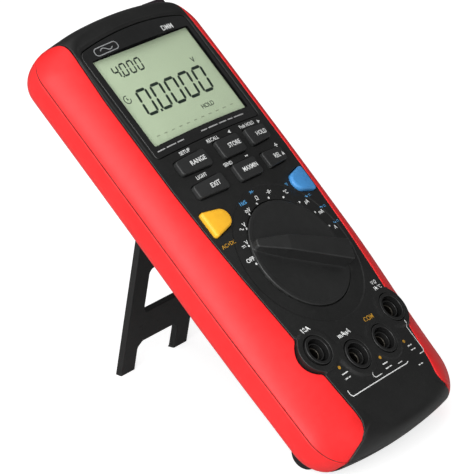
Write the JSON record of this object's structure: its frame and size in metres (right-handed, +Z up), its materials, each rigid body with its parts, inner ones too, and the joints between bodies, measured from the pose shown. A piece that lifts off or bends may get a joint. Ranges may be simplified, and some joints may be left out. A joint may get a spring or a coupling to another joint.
{
  "type": "bench multimeter",
  "caption": "Handheld-format digital bench multimeter with a rotary selector, shrouded input sockets, soft side grips and a fold-out tilt stand, standing on the stand.",
  "frame": {"origin": "on the table under the middle of the bounding box, the meter standing on its open tilt stand", "axes": "+Z up from the table, +X to the right across the face, the face looks towards -Y and up"},
  "size_m": [0.0848, 0.1486, 0.1276],
  "materials": {
    "black_abs": "fine spark-eroded texture",
    "red_grip": "satin soft-touch",
    "window_clear": "clear polished",
    "lcd_panel": "reflective liquid crystal panel",
    "white_plastic": "moulded",
    "yellow_key": "satin",
    "blue_key": "satin",
    "silicone_grey": "matte",
    "circuit_board": "solder mask",
    "black_epoxy": "moulded epoxy",
    "brass_contact": "machined",
    "shunt_alloy": "drawn wire",
    "spring_steel": "zinc plated",
    "socket_black": "moulded",
    "fuse_body": "ceramic",
    "battery_wrap": "printed can",
    "optical_window": "dark translucent",
    "rubber_foot": "matte"
  },
  "bodies": {
    "case": {"front_case": "black_abs", "front_grip_left": "red_grip", "front_grip_right": "red_grip", "rear_case": "black_abs", "rear_grip_left": "red_grip", "rear_grip_right": "red_grip", "display_lens": "window_clear", "lcd_glass": "lcd_panel", "lcd_frame": "white_plastic", "backlight_guide": "white_plastic", "zebra_strip": "silicone_grey", "display_board": "circuit_board", "keypad_mat": "silicone_grey", "detent_spring": "spring_steel", "main_board": "circuit_board", "meter_chip": "black_epoxy", "buzzer": "black_epoxy", "shunt_link": "shunt_alloy", "fuse_10a": "fuse_body", "fuse_10a_clip_a": "brass_contact", "fuse_10a_clip_b": "brass_contact", "fuse_ma": "fuse_body", "fuse_ma_clip_a": "brass_contact", "fuse_ma_clip_b": "brass_contact", "socket_10a": "socket_black", "contact_10a": "brass_contact", "socket_maua": "socket_black", "contact_maua": "brass_contact", "socket_com": "socket_black", "contact_com": "brass_contact", "socket_v": "socket_black", "contact_v": "brass_contact", "battery_9v": "battery_wrap", "battery_snap": "socket_black", "battery_cover": "black_abs", "cover_screw": "spring_steel", "case_screw_1": "spring_steel", "case_screw_2": "spring_steel", "case_screw_3": "spring_steel", "case_screw_4": "spring_steel", "optical_port": "optical_window", "foot_left": "rubber_foot", "foot_right": "rubber_foot"},
    "knob": {"selector_knob": "black_abs", "switch_rotor": "white_plastic", "wiper_contacts": "brass_contact"},
    "stand": {"tilt_stand": "socket_black"},
    "key_range": {"key_range": "black_abs"},
    "key_store": {"key_store": "black_abs"},
    "key_hold": {"key_hold": "black_abs"},
    "key_exit": {"key_exit": "black_abs"},
    "key_maxmin": {"key_maxmin": "black_abs"},
    "key_rel": {"key_rel": "black_abs"},
    "key_yellow": {"key_yellow": "yellow_key"},
    "key_blue": {"key_blue": "blue_key"}
  },
  "joints": [
    {"name": "selector_turn", "type": "hinge", "parent": "case", "child": "knob", "pos_m": [0, -0.02444, 0.06245], "axis": [0, -0.6293, 0.7771], "range_deg": [-144, 18]},
    {"name": "stand_hinge", "type": "hinge", "parent": "case", "child": "stand", "pos_m": [0, 0.02967, 0.06857], "axis": [1, 0, 0], "range_deg": [-57.3, 0]},
    {"name": "key_range_press", "type": "slide", "parent": "case", "child": "key_range", "axis": [0, 0.6293, -0.7771], "range_m": [0, 0.0008], "stiffness_N_per_m": 400},
    {"name": "key_store_press", "type": "slide", "parent": "case", "child": "key_store", "axis": [0, 0.6293, -0.7771], "range_m": [0, 0.0008], "stiffness_N_per_m": 400},
    {"name": "key_hold_press", "type": "slide", "parent": "case", "child": "key_hold", "axis": [0, 0.6293, -0.7771], "range_m": [0, 0.0008], "stiffness_N_per_m": 400},
    {"name": "key_exit_press", "type": "slide", "parent": "case", "child": "key_exit", "axis": [0, 0.6293, -0.7771], "range_m": [0, 0.0008], "stiffness_N_per_m": 400},
    {"name": "key_maxmin_press", "type": "slide", "parent": "case", "child": "key_maxmin", "axis": [0, 0.6293, -0.7771], "range_m": [0, 0.0008], "stiffness_N_per_m": 400},
    {"name": "key_rel_press", "type": "slide", "parent": "case", "child": "key_rel", "axis": [0, 0.6293, -0.7771], "range_m": [0, 0.0008], "stiffness_N_per_m": 400},
    {"name": "key_yellow_press", "type": "slide", "parent": "case", "child": "key_yellow", "axis": [0, 0.6293, -0.7771], "range_m": [0, 0.0008], "stiffness_N_per_m": 400},
    {"name": "key_blue_press", "type": "slide", "parent": "case", "child": "key_blue", "axis": [0, 0.6293, -0.7771], "range_m": [0, 0.0008], "stiffness_N_per_m": 400}
  ]
}
